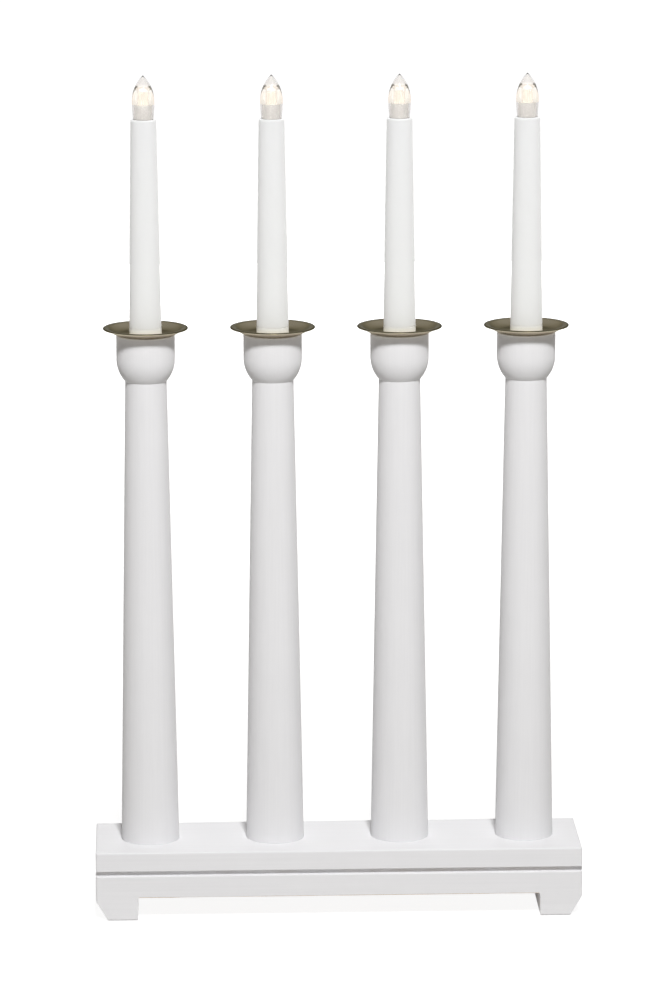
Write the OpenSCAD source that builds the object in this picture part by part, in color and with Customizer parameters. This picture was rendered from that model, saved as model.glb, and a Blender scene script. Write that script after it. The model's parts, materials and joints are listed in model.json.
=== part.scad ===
// Electric candle holder: four lamps on turned columns that stand in one grooved wooden beam.
// Millimetres, +Z up, the front faces -Y, and the origin is on the floor under the beam's middle.

/* [Beam] */
// Distance between neighbouring candle axes
candle_pitch = 80; // [66:1:110]
// From an outer candle axis to the end of the beam
end_margin = 35; // [32:0.5:60]
// Depth of the beam from front to back
beam_depth = 72; // [70:1:110]
// Height of the beam's top above the floor
beam_height = 44.8; // [40:0.1:60]
// Height of the gap between the feet
undercut_height = 15; // [8:0.5:19]
// Length of each foot along the beam
foot_length = 26.7; // [14:0.1:29]
// How far the cut on a foot's outer corner runs along the beam
foot_cut_run = 7.7; // [3:0.1:12]
// How far the cut on a foot's outer corner rises
foot_cut_rise = 12.8; // [3:0.1:20]
// Radius on the beam's edges
edge_round = 1.2; // [0.4:0.1:2]
// Height of the groove in the front and the back
groove_height = 3.2; // [1.5:0.1:5]
// Depth of that groove
groove_depth = 2.8; // [1:0.1:5]
// From the beam's top down to the groove
groove_drop = 12.6; // [6:0.1:13]

/* [Wiring space] */
// Wood left in front of the wiring channel
beam_wall = 13; // [12:0.5:15]
// Height of the channel above the cover
channel_height = 11; // [10.5:0.5:14]
// Thickness of the cover under the channel
cover_thickness = 3; // [2.5:0.5:5]
// How far the cover overlaps the wood beside the channel
cover_ledge = 6.5; // [6:0.5:8]
// Radius of the cord bushing's bore
cord_bore_r = 2.75; // [2:0.05:3.2]
// Outer radius of the cord bushing
bushing_r = 4.2; // [3.8:0.1:4.3]
// Radius of the bushing's flange
bushing_flange_r = 5.8; // [4.8:0.1:5.9]
// Thickness of the bushing's flange
bushing_flange = 1.5; // [1:0.1:3]

/* [Columns] */
// Radius of a column where it stands on the beam
column_foot_r = 18.5; // [14:0.1:24]
// Radius of a column just under its cup
column_neck_r = 13.1; // [10.5:0.1:16]
// Height of a column's tapered shaft
shaft_height = 298.3; // [150:0.1:400]
// Radius of the cup on a column
cup_r = 18.3; // [17:0.1:24]
// Height of the cup
cup_height = 29.5; // [24:0.1:50]
// Height of the cup's rounded lower part
bowl_height = 14.2; // [10:0.1:20]
// Radius of the tenon that holds a column in the beam
tenon_r = 10; // [7:0.5:12]
// Radius of the wire bore through a column
column_bore_r = 4.5; // [4.2:0.1:5.2]
// Height of the spigot that carries a candle tube
spigot_height = 14; // [8:0.5:25]

/* [Drip trays] */
// Radius of a drip tray
tray_r = 26.8; // [20:0.1:30]
// Thickness of a drip tray
tray_thickness = 0.8; // [0.6:0.1:2]
// How far a drip tray's rim rises above its flat middle
tray_rise = 3.8; // [1:0.1:6]
// Width of the flat ring round the candle tube's foot
tray_flat = 1.8; // [0.5:0.1:4]

/* [Candle tubes] */
// Outer radius of a candle tube at its foot
tube_foot_r = 10.2; // [9.6:0.05:12]
// Outer radius of a candle tube at its top
tube_top_r = 8; // [7.9:0.05:9.5]
// Height of a candle tube
tube_height = 135.6; // [90:0.1:200]
// Wall of a candle tube
tube_wall = 1; // [0.8:0.1:1.2]
// Radius on a candle tube's top edge
tube_edge_round = 1; // [0.3:0.1:1.1]
// From a candle tube's foot up to the fine line round it
tube_line_rise = 3.9; // [1:0.1:8]

/* [Bulbs] */
// Largest radius of a bulb
bulb_r = 7.1; // [6.6:0.05:7.6]
// Radius of a bulb's neck, just above the candle tube
bulb_neck_r = 6.4; // [6.2:0.05:6.5]
// Radius of a bulb's skirt inside the candle tube
bulb_skirt_r = 6; // [5.8:0.05:6.1]
// Height of a bulb above the candle tube
bulb_reach = 27.7; // [25:0.1:32]
// Height of a bulb's widest place above the candle tube
bulb_widest = 11.2; // [9:0.1:11.5]
// Half the angle of a bulb's pointed tip
bulb_tip_angle = 42; // [36:0.5:44]
// Wall of a bulb
bulb_wall = 1; // [0.7:0.1:1.3]
// Radius of the glowing core
core_r = 4.3; // [3.4:0.1:4.6]
// Height of the glowing core
core_height = 7.7; // [5:0.1:8.2]
// How deep a bulb's skirt sits in the candle tube
skirt_depth = 4.5; // [3:0.1:6]

/* [Lamp thread] */
// Outside radius of the lamp cap's thread
thread_r = 4.76; // [4.6:0.01:4.85]
// Depth of the thread
thread_depth = 0.51; // [0.3:0.01:0.6]
// Rise of the thread in one turn
thread_pitch = 1.814; // [1.4:0.001:2.2]
// Gap between the cap's thread and the sleeve's
thread_gap = 0.22; // [0.18:0.01:0.3]
// Length of the lamp cap
cap_length = 9.1; // [7:0.1:12]

/* [Wires] */
// Radius of a wire with its insulation
wire_r = 0.9; // [0.5:0.05:1]
// Distance between the two wires in a column
wire_spacing = 6; // [5:0.1:6.2]
// Radius of a wire's bends
wire_bend_r = 2.5; // [1.5:0.1:2.9]

/* [Hidden] */
$fn = 72;
candle_numbers = [1, 2, 3, 4];
link_numbers = [1, 2, 3];
sides = [-1, 1];

// Clearances: round pieces that are pushed together, and flat ones beside each other
fit_gap = 0.05;
slip_gap = 0.15;
cover_gap = 0.3;
skirt_gap = 0.4;
contact_gap = 0.1;
cut_over = 1;

// Places along the beam
candle_count = len(candle_numbers);
outer_x = candle_pitch * (candle_count - 1) / 2;
beam_length = 2 * (outer_x + end_margin);
foot_inner_x = beam_length / 2 - foot_length;

// Heights of the beam
cover_top = undercut_height + cover_thickness;
channel_top = cover_top + channel_height;
channel_front = beam_depth / 2 - beam_wall;
channel_end = outer_x + column_bore_r;
cover_front = channel_front + cover_ledge;
groove_z = beam_height - groove_drop - groove_height;
groove_lip_round = 0.5;
groove_root_round = 0.3;

// Heights of a candle, from the column up to the bulb's tip
neck_z = beam_height + shaft_height;
cup_top = neck_z + cup_height;
tube_z = cup_top + tray_thickness;
tube_top = tube_z + tube_height;
bulb_top = tube_top + bulb_reach;
skirt_z = tube_top - skirt_depth;
cap_z = skirt_z - cap_length;

// The lamp's foot under its cap
insulator_height = 1.8;
insulator_top_r = 4;
insulator_foot_r = 2.6;
insulator_z = cap_z - insulator_height;
lamp_tip_height = 1;
lamp_tip_r = 2;
lamp_tip_flat_r = 1.2;
lamp_tip_z = insulator_z - lamp_tip_height;

// The socket under the lamp
contact_height = 1.5;
contact_leaf = 0.5;
contact_button_r = 1.3;
contact_half_width = 1.5;
contact_reach = 1.6;
socket_floor = lamp_tip_z - contact_gap - contact_height;
pin_r = 0.8;
pin_length = 3;
pin_margin = 0.1;
wire_top = socket_floor - pin_length;
wire_guide = 2;
holder_z = wire_top - wire_guide;
holder_top = tube_top - tube_wall;
tag_height = 3;
tag_half_width = 1.2;
tag_thickness = 0.6;
sleeve_z = socket_floor + tag_height;
sleeve_drop = 1.5;
sleeve_top = skirt_z - sleeve_drop;
sleeve_wall = 0.42;
sleeve_r = thread_r + thread_gap + sleeve_wall;
sleeve_bore_r = sleeve_r + fit_gap;
skirt_bore_r = bulb_skirt_r + skirt_gap;
skirt_bore_z = sleeve_top + cover_gap;

// The bulb's inside, and the step between its neck and its skirt
shoulder_z = tube_top + cover_gap;
bulb_floor = 1.2;
plug_r = bulb_skirt_r - bulb_wall - slip_gap;
plug_z = skirt_z + bulb_floor + slip_gap;
stem_r = 2.5;
stem_hole_r = stem_r + slip_gap;
cap_wall = 0.8;
cap_bore_r = thread_r - thread_depth - cap_wall;
stem_foot_height = 2;
stem_foot_rise = 1.6;
stem_foot_z = cap_z + stem_foot_rise;
core_drop = 1.8;
core_z = tube_top + bulb_widest - core_drop;
core_flutes = 16;
core_flute_depth = 0.35;

// The thread's mesh
thread_sides = 18;
thread_rings_a_turn = 5;

// Round outlines
arc_steps = 5;
bulb_arc_steps = 14;
bulb_belly_steps = 5;
bowl_arc_steps = 12;
tray_edge_r = tray_thickness / 2;
rim_angle = 65;
tube_line_height = 0.5;
tube_line_depth = 0.25;
cup_edge = 0.6;

// Terminal block, its barrels and its screws
block_length = 18;
block_depth = 11;
block_height = 10;
block_offset = 24;
block_x = candle_x(candle_count - 1) + block_offset;
barrel_half_gap = 4.5;
barrel_r = 2;
barrel_bore_r = wire_r + slip_gap;
barrel_screw_inset = 2.75;
barrel_screw_r = 1.3;
barrel_screw_sink = 0.4;
wire_z = channel_top - block_height / 2;
wire_lane_straight = 1;
wire_lane = 2 * wire_bend_r + wire_lane_straight;
block_clearance = 2;
block_front = wire_lane + wire_bend_r + block_clearance;
block_z = channel_top - block_height;
block_back_gap = 1.5;
channel_back = block_front + block_depth + block_back_gap;
cover_back = channel_back + cover_ledge;
wire_past_screw = 0.4;
wire_seat = barrel_screw_inset + barrel_screw_r + wire_past_screw;

// Wood screws
screw_r = 1.5;
screw_head_r = 3;
screw_head_height = 1.6;
cover_screw_length = 13.5;
cover_screw_y = [-channel_front - cover_ledge / 2, channel_back + cover_ledge / 2];
cover_screw_x = [-outer_x, 0, outer_x];
block_screw_r = 1.3;
block_screw_head_r = 2.3;
block_screw_depth = 8;

// Cord inlet in the back of the beam
inlet_offset = 22;
inlet_x = block_x + inlet_offset;
inlet_rise = 0.4;
inlet_z = cover_top + bushing_r + inlet_rise;

function numbered(kind, n) = str(kind, "_", n);
function link_name(n) = str("link_wire_", n, "_", n + 1);
function candle_x(n) = (n - (candle_count + 1) / 2) * candle_pitch;

// Candle tube radii at a height above the floor
function tube_r(z) = tube_foot_r + (tube_top_r - tube_foot_r) * (z - tube_z) / tube_height;
function tube_bore_r(z) = tube_r(z) - tube_wall;

// Points on an arc from one angle to another
function arc(centre, r, from, to, steps) = [
    for (k = [0:steps])
        let (a = from + (to - from) * k / steps)
            centre + r * [cos(a), sin(a)]
];

function unit(v) = v / norm(v);

// One corner of an outline as an arc that touches both of its edges
function round_corner(before, corner, after, r) =
    let (
        u = unit(before - corner),
        v = unit(after - corner),
        opening = acos(u * v),
        centre = corner + unit(u + v) * r / sin(opening / 2),
        start = corner + u * r / tan(opening / 2) - centre,
        from = atan2(start[1], start[0]),
        turn = sign(cross(corner - before, after - corner))
    )
    arc(centre, r, from, from + turn * (180 - opening), arc_steps);

// A closed outline with round corners, of one radius or of a radius for each corner
function rounded(points, r) =
    let (count = len(points))
    [for (i = [0:count - 1])
        each round_corner(
            points[(i + count - 1) % count], points[i], points[(i + 1) % count],
            is_list(r) ? r[i] : r
        )];

function rectangle(width, low, high) =
    [[-width / 2, low], [width / 2, low], [width / 2, high], [-width / 2, high]];

// The beam seen from the front, with its feet
function beam_outline() =
    let (end = beam_length / 2)
    [
        [-end, foot_cut_rise],
        [-end + foot_cut_run, 0],
        [-foot_inner_x, 0],
        [-foot_inner_x, undercut_height],
        [foot_inner_x, undercut_height],
        [foot_inner_x, 0],
        [end - foot_cut_run, 0],
        [end, foot_cut_rise],
        [end, beam_height],
        [-end, beam_height]
    ];

// The beam seen from its end, with the groove in its front and its back, and the radius at each corner
function beam_section() =
    let (
        face = beam_depth / 2,
        root = face - groove_depth,
        groove_top = groove_z + groove_height
    )
    [
        [-face, 0], [face, 0],
        [face, groove_z], [root, groove_z], [root, groove_top], [face, groove_top],
        [face, beam_height], [-face, beam_height],
        [-face, groove_top], [-root, groove_top], [-root, groove_z], [-face, groove_z]
    ];

function beam_section_radii() =
    let (groove = [groove_lip_round, groove_root_round, groove_root_round, groove_lip_round])
    concat([edge_round, edge_round], groove, [edge_round, edge_round], groove);

// Half of the bulb's outside, from its neck to its tip: a slow curve, then a tighter one
function bulb_outline(inset, top_cut) =
    let (
        widest_z = tube_top + bulb_widest,
        belly_step = bulb_r - bulb_neck_r,
        belly_drop = widest_z - shoulder_z,
        belly = (belly_drop * belly_drop + belly_step * belly_step) / (2 * belly_step),
        belly_angle = asin(belly_drop / belly),
        tip_rise = bulb_top - widest_z,
        sweep = (sin(bulb_tip_angle) * tip_rise - cos(bulb_tip_angle) * bulb_r) / (1 - cos(bulb_tip_angle)),
        top_r = sweep - inset,
        top_angle = min(bulb_tip_angle, asin(min(1, (top_cut - widest_z) / top_r))),
        first_angle = top_angle / bulb_arc_steps
    )
    concat(
        arc([bulb_r - belly, widest_z], belly - inset, -belly_angle, 0, bulb_belly_steps),
        arc([bulb_r - sweep, widest_z], top_r, first_angle, top_angle, bulb_arc_steps - 1)
    );

// Radius of a thread round a mean radius, at an angle and a height
function thread_at(mean_r, angle, z) = mean_r + thread_depth / 2 * cos(360 * z / thread_pitch - angle);

function thread_levels(low, high) = ceil((high - low) / thread_pitch * thread_rings_a_turn);

// A tube with a thread on one wall and a plain other wall: its points, then its triangles
function thread_points(mean_r, plain_r, low, high) =
    let (levels = thread_levels(low, high))
    concat(
        [for (k = [0:levels]) for (j = [0:thread_sides - 1])
            let (
                z = low + (high - low) * k / levels,
                a = 360 * j / thread_sides,
                r = thread_at(mean_r, a, z)
            )
            [r * cos(a), r * sin(a), z]],
        [for (z = [low, high]) for (j = [0:thread_sides - 1])
            let (a = 360 * j / thread_sides)
            [plain_r * cos(a), plain_r * sin(a), z]]
    );

function thread_faces(low, high) =
    let (
        levels = thread_levels(low, high),
        top = levels * thread_sides,
        plain_low = top + thread_sides,
        plain_high = plain_low + thread_sides
    )
    [for (j = [0:thread_sides - 1])
        let (next = (j + 1) % thread_sides)
        each concat(
            [for (k = [0:levels - 1])
                let (here = k * thread_sides, above = here + thread_sides)
                each [[here + j, above + j, above + next], [here + j, above + next, here + next]]],
            [
                [plain_low + j, plain_high + next, plain_high + j],
                [plain_low + j, plain_low + next, plain_high + next],
                [plain_low + next, plain_low + j, j],
                [next, plain_low + next, j],
                [plain_high + j, plain_high + next, top + j],
                [plain_high + next, top + next, top + j]
            ]
        )];

module at_candle(n) {
    translate([candle_x(n), 0, 0])
        children();
}

module along_x(length) {
    rotate([90, 0, 90])
        linear_extrude(height = length, center = true)
            children();
}

module along_y(length) {
    rotate([90, 0, 0])
        linear_extrude(height = length, center = true)
            children();
}

// A cylinder that runs from y = low to y = high
module rod_along_y(r, low, high) {
    translate([0, high, 0])
        rotate([90, 0, 0])
            cylinder(r = r, h = high - low);
}

module block_at(low, high) {
    translate(low)
        cube(high - low);
}

// Moves a shape drawn on X, Y and Z to a place with other axes
module on_axes(origin, u, v) {
    w = cross(u, v);
    multmatrix([
        [u[0], v[0], w[0], origin[0]],
        [u[1], v[1], w[1], origin[1]],
        [u[2], v[2], w[2], origin[2]]
    ])
        children();
}

// A wire along points whose corners are square, with a quarter bend at each corner
module wire(points) {
    last = len(points) - 1;
    for (i = [0:last - 1]) {
        d = unit(points[i + 1] - points[i]);
        from = points[i] + (i > 0 ? wire_bend_r : 0) * d;
        to = points[i + 1] - (i < last - 1 ? wire_bend_r : 0) * d;
        side = [d[1], d[2], d[0]];
        on_axes(from, side, cross(d, side))
            cylinder(r = wire_r, h = norm(to - from), $fn = 24);
    }
    for (i = [1:last - 1]) {
        d_in = unit(points[i] - points[i - 1]);
        d_out = unit(points[i + 1] - points[i]);
        on_axes(points[i] + wire_bend_r * (d_out - d_in), -d_out, d_in)
            rotate_extrude(angle = 90)
                translate([wire_bend_r, 0])
                    circle(r = wire_r, $fn = 24);
    }
}

// A countersunk wood screw that stands on its head, with its point up
module wood_screw(r, head_r, head_height, length) {
    rotate_extrude()
        polygon([
            [0, 0],
            [head_r, 0],
            [r, head_height],
            [r, length - 2 * r],
            [0, length]
        ]);
}

module base_beam() {
    color("#f1f1ef")
    difference() {
        intersection() {
            along_y(beam_depth)
                polygon(rounded(beam_outline(), edge_round));
            along_x(beam_length)
                polygon(rounded(beam_section(), beam_section_radii()));
            linear_extrude(height = beam_height)
                polygon(rounded(rectangle(beam_length, -beam_depth / 2, beam_depth / 2), edge_round));
        }
        block_at(
            [-foot_inner_x, -cover_front - cover_gap, undercut_height - cut_over],
            [foot_inner_x, cover_back + cover_gap, cover_top]
        );
        block_at(
            [-channel_end, -channel_front, cover_top - cut_over],
            [channel_end, channel_back, channel_top]
        );
        for (n = candle_numbers)
            at_candle(n)
                translate([0, 0, channel_top - cut_over])
                    cylinder(r = tenon_r + fit_gap, h = beam_height - channel_top + 2 * cut_over);
        translate([inlet_x, 0, inlet_z]) {
            rod_along_y(bushing_r + fit_gap, channel_back - cut_over, beam_depth / 2 + cut_over);
            rod_along_y(bushing_flange_r + fit_gap, beam_depth / 2 - bushing_flange, beam_depth / 2 + cut_over);
        }
        for (x = cover_screw_x)
            for (y = cover_screw_y)
                translate([x, y, cover_top - cut_over])
                    cylinder(
                        r = screw_r + fit_gap,
                        h = undercut_height + cover_screw_length + 2 * cut_over - cover_top
                    );
        translate([block_x, block_front + block_depth / 2, channel_top - cut_over])
            cylinder(r = block_screw_r + fit_gap, h = block_screw_depth + 2 * cut_over);
    }
}

module bottom_cover() {
    color("#b08d62")
    difference() {
        block_at(
            [-foot_inner_x + cover_gap, -cover_front, undercut_height],
            [foot_inner_x - cover_gap, cover_back, cover_top]
        );
        for (x = cover_screw_x)
            for (y = cover_screw_y)
                translate([x, y, undercut_height]) {
                    translate([0, 0, -cut_over])
                        cylinder(r = screw_r + slip_gap, h = cover_thickness + 2 * cut_over);
                    cylinder(
                        r1 = screw_head_r + slip_gap,
                        r2 = screw_r + slip_gap,
                        h = screw_head_height + fit_gap
                    );
                }
    }
}

module cover_screws() {
    color("#c9c9c6")
    for (x = cover_screw_x)
        for (y = cover_screw_y)
            translate([x, y, undercut_height])
                wood_screw(screw_r, screw_head_r, screw_head_height, cover_screw_length);
}

module cord_bushing() {
    color("#f4f4f2")
    translate([inlet_x, 0, inlet_z])
        difference() {
            union() {
                rod_along_y(bushing_r, channel_back, beam_depth / 2);
                rod_along_y(bushing_flange_r, beam_depth / 2 - bushing_flange, beam_depth / 2);
            }
            rod_along_y(cord_bore_r, channel_back - cut_over, beam_depth / 2 + cut_over);
        }
}

// Places of the two barrels, and of the four screws in them
module at_barrels() {
    for (s = sides)
        translate([block_x + s * barrel_half_gap, block_front, wire_z])
            children();
}

module at_barrel_screws() {
    at_barrels()
        for (y = [barrel_screw_inset, block_depth - barrel_screw_inset])
            translate([0, y, 0])
                children();
}

module terminal_block() {
    color("#e9e7df")
    difference() {
        block_at(
            [block_x - block_length / 2, block_front, block_z],
            [block_x + block_length / 2, block_front + block_depth, channel_top]
        );
        at_barrels()
            rod_along_y(barrel_r + fit_gap, -cut_over, block_depth + cut_over);
        at_barrel_screws()
            translate([0, 0, block_z - wire_z - cut_over])
                cylinder(r = barrel_screw_r + slip_gap, h = block_height / 2);
        translate([block_x, block_front + block_depth / 2, block_z]) {
            translate([0, 0, -cut_over])
                cylinder(r = block_screw_r + slip_gap, h = block_height + 2 * cut_over);
            cylinder(
                r1 = block_screw_head_r + slip_gap, r2 = block_screw_r + slip_gap,
                h = screw_head_height + fit_gap
            );
        }
    }
}

module terminal_barrels() {
    color("#c8a24a")
    difference() {
        at_barrels()
            difference() {
                rod_along_y(barrel_r, 0, block_depth);
                rod_along_y(barrel_bore_r, -cut_over, block_depth + cut_over);
            }
        at_barrel_screws()
            translate([0, 0, -barrel_r - cut_over])
                cylinder(r = barrel_screw_r + fit_gap, h = barrel_r + cut_over);
    }
}

module terminal_screws() {
    color("#c9c9c6")
    at_barrel_screws()
        translate([0, 0, block_z - wire_z + barrel_screw_sink])
            cylinder(r = barrel_screw_r, h = block_height / 2 - barrel_screw_sink - wire_r);
}

module block_screw() {
    color("#c9c9c6")
    translate([block_x, block_front + block_depth / 2, block_z])
        wood_screw(block_screw_r, block_screw_head_r, screw_head_height, block_height + block_screw_depth);
}

// A column with its tenon, cup and spigot, round its wire bore
module column(n) {
    bowl_step = cup_r - column_neck_r;
    bowl_r = (bowl_height * bowl_height + bowl_step * bowl_step) / (2 * bowl_step);
    bowl_angle = asin(bowl_height / bowl_r);
    spigot_top = cup_top + spigot_height;
    color("#f1f1ef")
    at_candle(n)
        rotate_extrude()
            polygon(concat(
                [
                    [column_bore_r, channel_top],
                    [tenon_r, channel_top],
                    [tenon_r, beam_height],
                    [column_foot_r, beam_height]
                ],
                arc([cup_r - bowl_r, neck_z + bowl_height], bowl_r, -bowl_angle, 0, bowl_arc_steps),
                [
                    [cup_r, cup_top - cup_edge],
                    [cup_r - cup_edge, cup_top],
                    [tube_bore_r(tube_z) - slip_gap, cup_top],
                    [tube_bore_r(spigot_top) - slip_gap, spigot_top],
                    [column_bore_r, spigot_top]
                ]
            ));
}

// A sheet that is flat round the candle tube's foot and curves up to a round rim
module drip_tray(n) {
    flat_r = tube_foot_r + tray_flat;
    rim_r = tray_r - tray_edge_r;
    run = rim_r - flat_r;
    bend = (run * run + tray_rise * tray_rise) / (2 * tray_rise);
    turn = 2 * atan(tray_rise / run);
    middle_z = cup_top + tray_edge_r;
    centre = [flat_r, middle_z + bend];
    color("#8f8464")
    at_candle(n)
        rotate_extrude()
            polygon(concat(
                [[tube_bore_r(tube_z), cup_top]],
                arc(centre, bend + tray_edge_r, -90, turn - 90, bowl_arc_steps),
                arc([rim_r, middle_z + tray_rise], tray_edge_r, turn - rim_angle, turn + rim_angle, arc_steps),
                arc(centre, bend - tray_edge_r, turn - 90, -90, bowl_arc_steps),
                [[tube_bore_r(tube_z), tube_z]]
            ));
}

module candle_tube(n) {
    line_low = tube_z + tube_line_rise;
    line_high = line_low + tube_line_height;
    edge_z = tube_top - tube_edge_round;
    color("#f6f6f4")
    at_candle(n)
        rotate_extrude()
            polygon(concat(
                [
                    [tube_bore_r(tube_z), tube_z],
                    [tube_foot_r, tube_z],
                    [tube_r(line_low), line_low],
                    [tube_r(line_low) - tube_line_depth, line_low],
                    [tube_r(line_high) - tube_line_depth, line_high],
                    [tube_r(line_high), line_high]
                ],
                arc([tube_r(edge_z) - tube_edge_round, edge_z], tube_edge_round, 0, 90, arc_steps),
                [
                    [skirt_bore_r, tube_top],
                    [skirt_bore_r, holder_top],
                    [tube_bore_r(holder_top), holder_top]
                ]
            ));
}

// The insulating holder that is wedged in the top of a candle tube
module lampholder(n) {
    color("#e6e4dc")
    at_candle(n)
        difference() {
            rotate_extrude()
                polygon([
                    [0, holder_z],
                    [tube_bore_r(holder_z) - fit_gap, holder_z],
                    [tube_bore_r(holder_top) - fit_gap, holder_top],
                    [skirt_bore_r, holder_top],
                    [skirt_bore_r, skirt_bore_z],
                    [sleeve_bore_r, skirt_bore_z],
                    [sleeve_bore_r, socket_floor],
                    [0, socket_floor]
                ]);
            for (s = sides)
                translate([s * wire_spacing / 2, 0, holder_z - cut_over])
                    cylinder(r = wire_r + slip_gap, h = socket_floor - holder_z + 2 * cut_over, $fn = 24);
        }
}

// The threaded sleeve with a tag that stands on the socket's floor and reaches the wire
module socket_sleeve(n) {
    mean_r = thread_r - thread_depth / 2 + thread_gap;
    tag_out = sleeve_r - slip_gap;
    tag_in = thread_r + thread_gap - tag_thickness / 2;
    pin_x = wire_spacing / 2;
    color("#c8a24a")
    at_candle(n) {
        polyhedron(
            points = thread_points(mean_r, sleeve_r, sleeve_z, sleeve_top),
            faces = [for (f = thread_faces(sleeve_z, sleeve_top)) [f[2], f[1], f[0]]]
        );
        block_at([tag_in, -tag_half_width, socket_floor], [tag_out, tag_half_width, sleeve_z]);
        block_at(
            [pin_x - pin_r, -tag_half_width, socket_floor],
            [tag_out, tag_half_width, socket_floor + tag_thickness]
        );
        translate([pin_x, 0, wire_top])
            cylinder(r = pin_r, h = pin_length, $fn = 24);
    }
}

// The leaf under the lamp's tip, with its button and its pin
module centre_contact(n) {
    pin_x = -wire_spacing / 2;
    color("#c8a24a")
    at_candle(n) {
        block_at(
            [pin_x - pin_r - pin_margin, -contact_half_width, socket_floor],
            [contact_reach, contact_half_width, socket_floor + contact_leaf]
        );
        translate([0, 0, socket_floor + contact_leaf])
            cylinder(r = contact_button_r, h = contact_height - contact_leaf);
        translate([pin_x, 0, wire_top])
            cylinder(r = pin_r, h = pin_length, $fn = 24);
    }
}

// The bulb's hollow wall from its flat top down to the neck
function bulb_hollow(top) =
    let (up = bulb_outline(bulb_wall, top + bulb_wall / 2))
    [for (i = [len(up) - 1:-1:0]) up[i]];

module bulb_envelope(n) {
    floor_z = skirt_z + bulb_floor;
    core_top = core_z + core_height;
    color([1, 0.97, 0.9, 0.5])
    at_candle(n)
        rotate_extrude()
            polygon(concat(
                [[stem_hole_r, skirt_z], [bulb_skirt_r, skirt_z], [bulb_skirt_r, shoulder_z]],
                bulb_outline(0, bulb_top),
                [[0, bulb_top], [0, core_top + bulb_wall / 2]],
                bulb_hollow(core_top),
                [[bulb_skirt_r - bulb_wall, floor_z], [stem_hole_r, floor_z]]
            ));
}

// The glowing core on a plug in the bulb's neck, and on a stem with a foot in the lamp cap
module bulb_core(n) {
    color([1, 0.9, 0.66])
    at_candle(n) {
        translate([0, 0, core_z])
            linear_extrude(height = core_height)
                polygon([
                    for (k = [0:2 * core_flutes - 1])
                        let (
                            a = 180 * k / core_flutes,
                            r = core_r - (k % 2) * core_flute_depth
                        )
                        [r * cos(a), r * sin(a)]
                ]);
        translate([0, 0, plug_z])
            cylinder(r = plug_r, h = core_z - plug_z);
        translate([0, 0, stem_foot_z])
            cylinder(r = stem_r, h = core_z - stem_foot_z);
        translate([0, 0, stem_foot_z])
            cylinder(r = cap_bore_r * cos(180 / thread_sides) - fit_gap, h = stem_foot_height);
    }
}

module bulb_cap(n) {
    color("#c9c6bd")
    at_candle(n)
        polyhedron(
            points = thread_points(thread_r - thread_depth / 2, cap_bore_r, cap_z, skirt_z),
            faces = thread_faces(cap_z, skirt_z)
        );
}

module bulb_insulator(n) {
    color("#1c1c1c")
    at_candle(n)
        translate([0, 0, insulator_z])
            cylinder(r1 = insulator_foot_r, r2 = insulator_top_r, h = insulator_height);
}

module bulb_tip(n) {
    color("#b9b9b4")
    at_candle(n)
        translate([0, 0, lamp_tip_z])
            cylinder(r1 = lamp_tip_flat_r, r2 = lamp_tip_r, h = lamp_tip_height);
}

// A wire from one candle's sleeve down, along the channel and up to the next candle's contact
module link_wire(n) {
    from_x = candle_x(n) + wire_spacing / 2;
    to_x = candle_x(n + 1) - wire_spacing / 2;
    color("#ece9e0")
    wire([
        [from_x, 0, wire_top],
        [from_x, 0, wire_z],
        [to_x, 0, wire_z],
        [to_x, 0, wire_top]
    ]);
}

// A wire from an end candle, round the link wires, to a barrel of the terminal block
module end_wire(candle_wire_x, barrel_side) {
    barrel_x = block_x + barrel_side * barrel_half_gap;
    wire([
        [candle_wire_x, 0, wire_top],
        [candle_wire_x, 0, wire_z],
        [candle_wire_x, wire_lane, wire_z],
        [barrel_x, wire_lane, wire_z],
        [barrel_x, block_front + wire_seat, wire_z]
    ]);
}

module feed_wire() {
    color("#8a5a34")
    end_wire(candle_x(1) - wire_spacing / 2, -1);
}

module return_wire() {
    color("#3f6fb0")
    end_wire(candle_x(candle_count) + wire_spacing / 2, 1);
}

base_beam();
bottom_cover();
cover_screws();
cord_bushing();
terminal_block();
terminal_barrels();
terminal_screws();
block_screw();
feed_wire();
return_wire();
for (n = link_numbers) {
    link_wire(n);
}
for (n = candle_numbers) {
    column(n);
    drip_tray(n);
    candle_tube(n);
    lampholder(n);
    socket_sleeve(n);
    centre_contact(n);
    bulb_envelope(n);
    bulb_core(n);
    bulb_cap(n);
    bulb_insulator(n);
    bulb_tip(n);
}
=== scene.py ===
"""Looks of the electric candle holder: paint, brass, plastic, lit lamps, studio and camera.

The scene is in metres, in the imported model's own frame: +Z up, the front faces -Y, the origin is on
the floor. The named sizes of pieces are in millimetres.
"""

import json
import math

import bpy
from mathutils import Matrix, Vector


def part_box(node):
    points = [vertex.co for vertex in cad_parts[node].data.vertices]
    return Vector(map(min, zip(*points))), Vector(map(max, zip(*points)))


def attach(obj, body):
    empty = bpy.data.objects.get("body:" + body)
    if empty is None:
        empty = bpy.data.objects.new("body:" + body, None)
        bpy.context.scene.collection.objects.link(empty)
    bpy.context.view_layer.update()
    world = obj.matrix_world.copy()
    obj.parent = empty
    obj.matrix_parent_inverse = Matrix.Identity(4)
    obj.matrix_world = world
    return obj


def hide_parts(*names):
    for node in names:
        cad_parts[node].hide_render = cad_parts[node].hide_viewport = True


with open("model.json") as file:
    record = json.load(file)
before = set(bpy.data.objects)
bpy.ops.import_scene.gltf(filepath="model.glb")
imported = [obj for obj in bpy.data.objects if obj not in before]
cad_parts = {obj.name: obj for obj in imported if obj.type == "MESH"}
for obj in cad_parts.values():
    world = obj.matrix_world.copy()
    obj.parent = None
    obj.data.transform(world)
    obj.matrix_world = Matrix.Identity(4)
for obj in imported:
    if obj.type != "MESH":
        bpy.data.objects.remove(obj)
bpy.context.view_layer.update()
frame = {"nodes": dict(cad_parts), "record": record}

MM = 0.001
CANDLES = (1, 2, 3, 4)

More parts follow.
